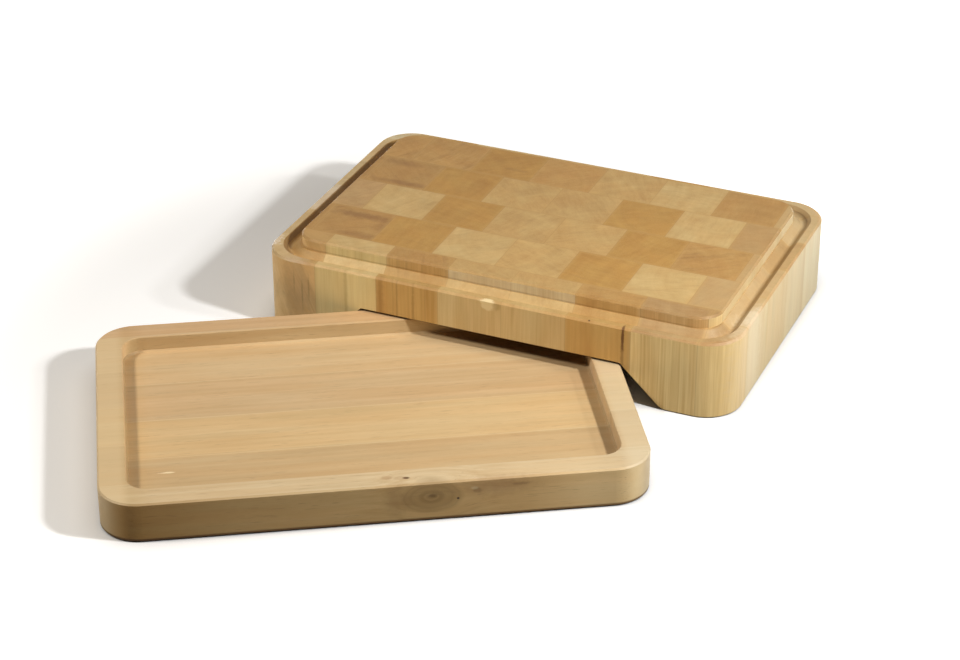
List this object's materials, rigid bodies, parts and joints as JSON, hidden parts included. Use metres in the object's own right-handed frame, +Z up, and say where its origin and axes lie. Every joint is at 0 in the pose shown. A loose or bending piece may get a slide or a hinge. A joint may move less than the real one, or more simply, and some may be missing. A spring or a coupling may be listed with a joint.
{
  "type": "cutting board with tray",
  "caption": "Raised end-grain cutting board with a juice groove and a trapezoid tunnel under it, and a loose recessed tray of glued staves pushed part-way under the board.",
  "frame": {"origin": "middle of the whole set's footprint, on the table that the board and the tray stand on", "axes": "+Z up from the table; +Y from the board's front, where the tray goes in, to its back; +X to the board's right seen from the front"},
  "size_m": [0.4798, 0.579, 0.0745],
  "materials": {
    "board_wood": "oiled, sanded end grain",
    "tray_wood": "oiled, planed long grain"
  },
  "bodies": {
    "board": {"block_a1": "board_wood", "block_a2": "board_wood", "block_a3": "board_wood", "block_a4": "board_wood", "block_a5": "board_wood", "block_a6": "board_wood", "block_a7": "board_wood", "block_a8": "board_wood", "block_b1": "board_wood", "block_b2": "board_wood", "block_b3": "board_wood", "block_b4": "board_wood", "block_b5": "board_wood", "block_b6": "board_wood", "block_b7": "board_wood", "block_b8": "board_wood", "block_c1": "board_wood", "block_c2": "board_wood", "block_c3": "board_wood", "block_c4": "board_wood", "block_c5": "board_wood", "block_c6": "board_wood", "block_c7": "board_wood", "block_c8": "board_wood", "block_d1": "board_wood", "block_d2": "board_wood", "block_d3": "board_wood", "block_d4": "board_wood", "block_d5": "board_wood", "block_d6": "board_wood", "block_d7": "board_wood", "block_d8": "board_wood", "block_e1": "board_wood", "block_e2": "board_wood", "block_e3": "board_wood", "block_e4": "board_wood", "block_e5": "board_wood", "block_e6": "board_wood", "block_e7": "board_wood", "block_e8": "board_wood", "block_f1": "board_wood", "block_f2": "board_wood", "block_f3": "board_wood", "block_f4": "board_wood", "block_f5": "board_wood", "block_f6": "board_wood", "block_f7": "board_wood", "block_f8": "board_wood"},
    "tray": {"tray_stave_1": "tray_wood", "tray_stave_2": "tray_wood", "tray_stave_3": "tray_wood", "tray_stave_4": "tray_wood", "tray_stave_5": "tray_wood", "tray_stave_6": "tray_wood"}
  },
  "joints": [
    {"name": "tray_slide", "type": "slide", "parent": "board", "child": "tray", "axis": [0, -1, 0], "range_m": [0, 0.12]}
  ]
}
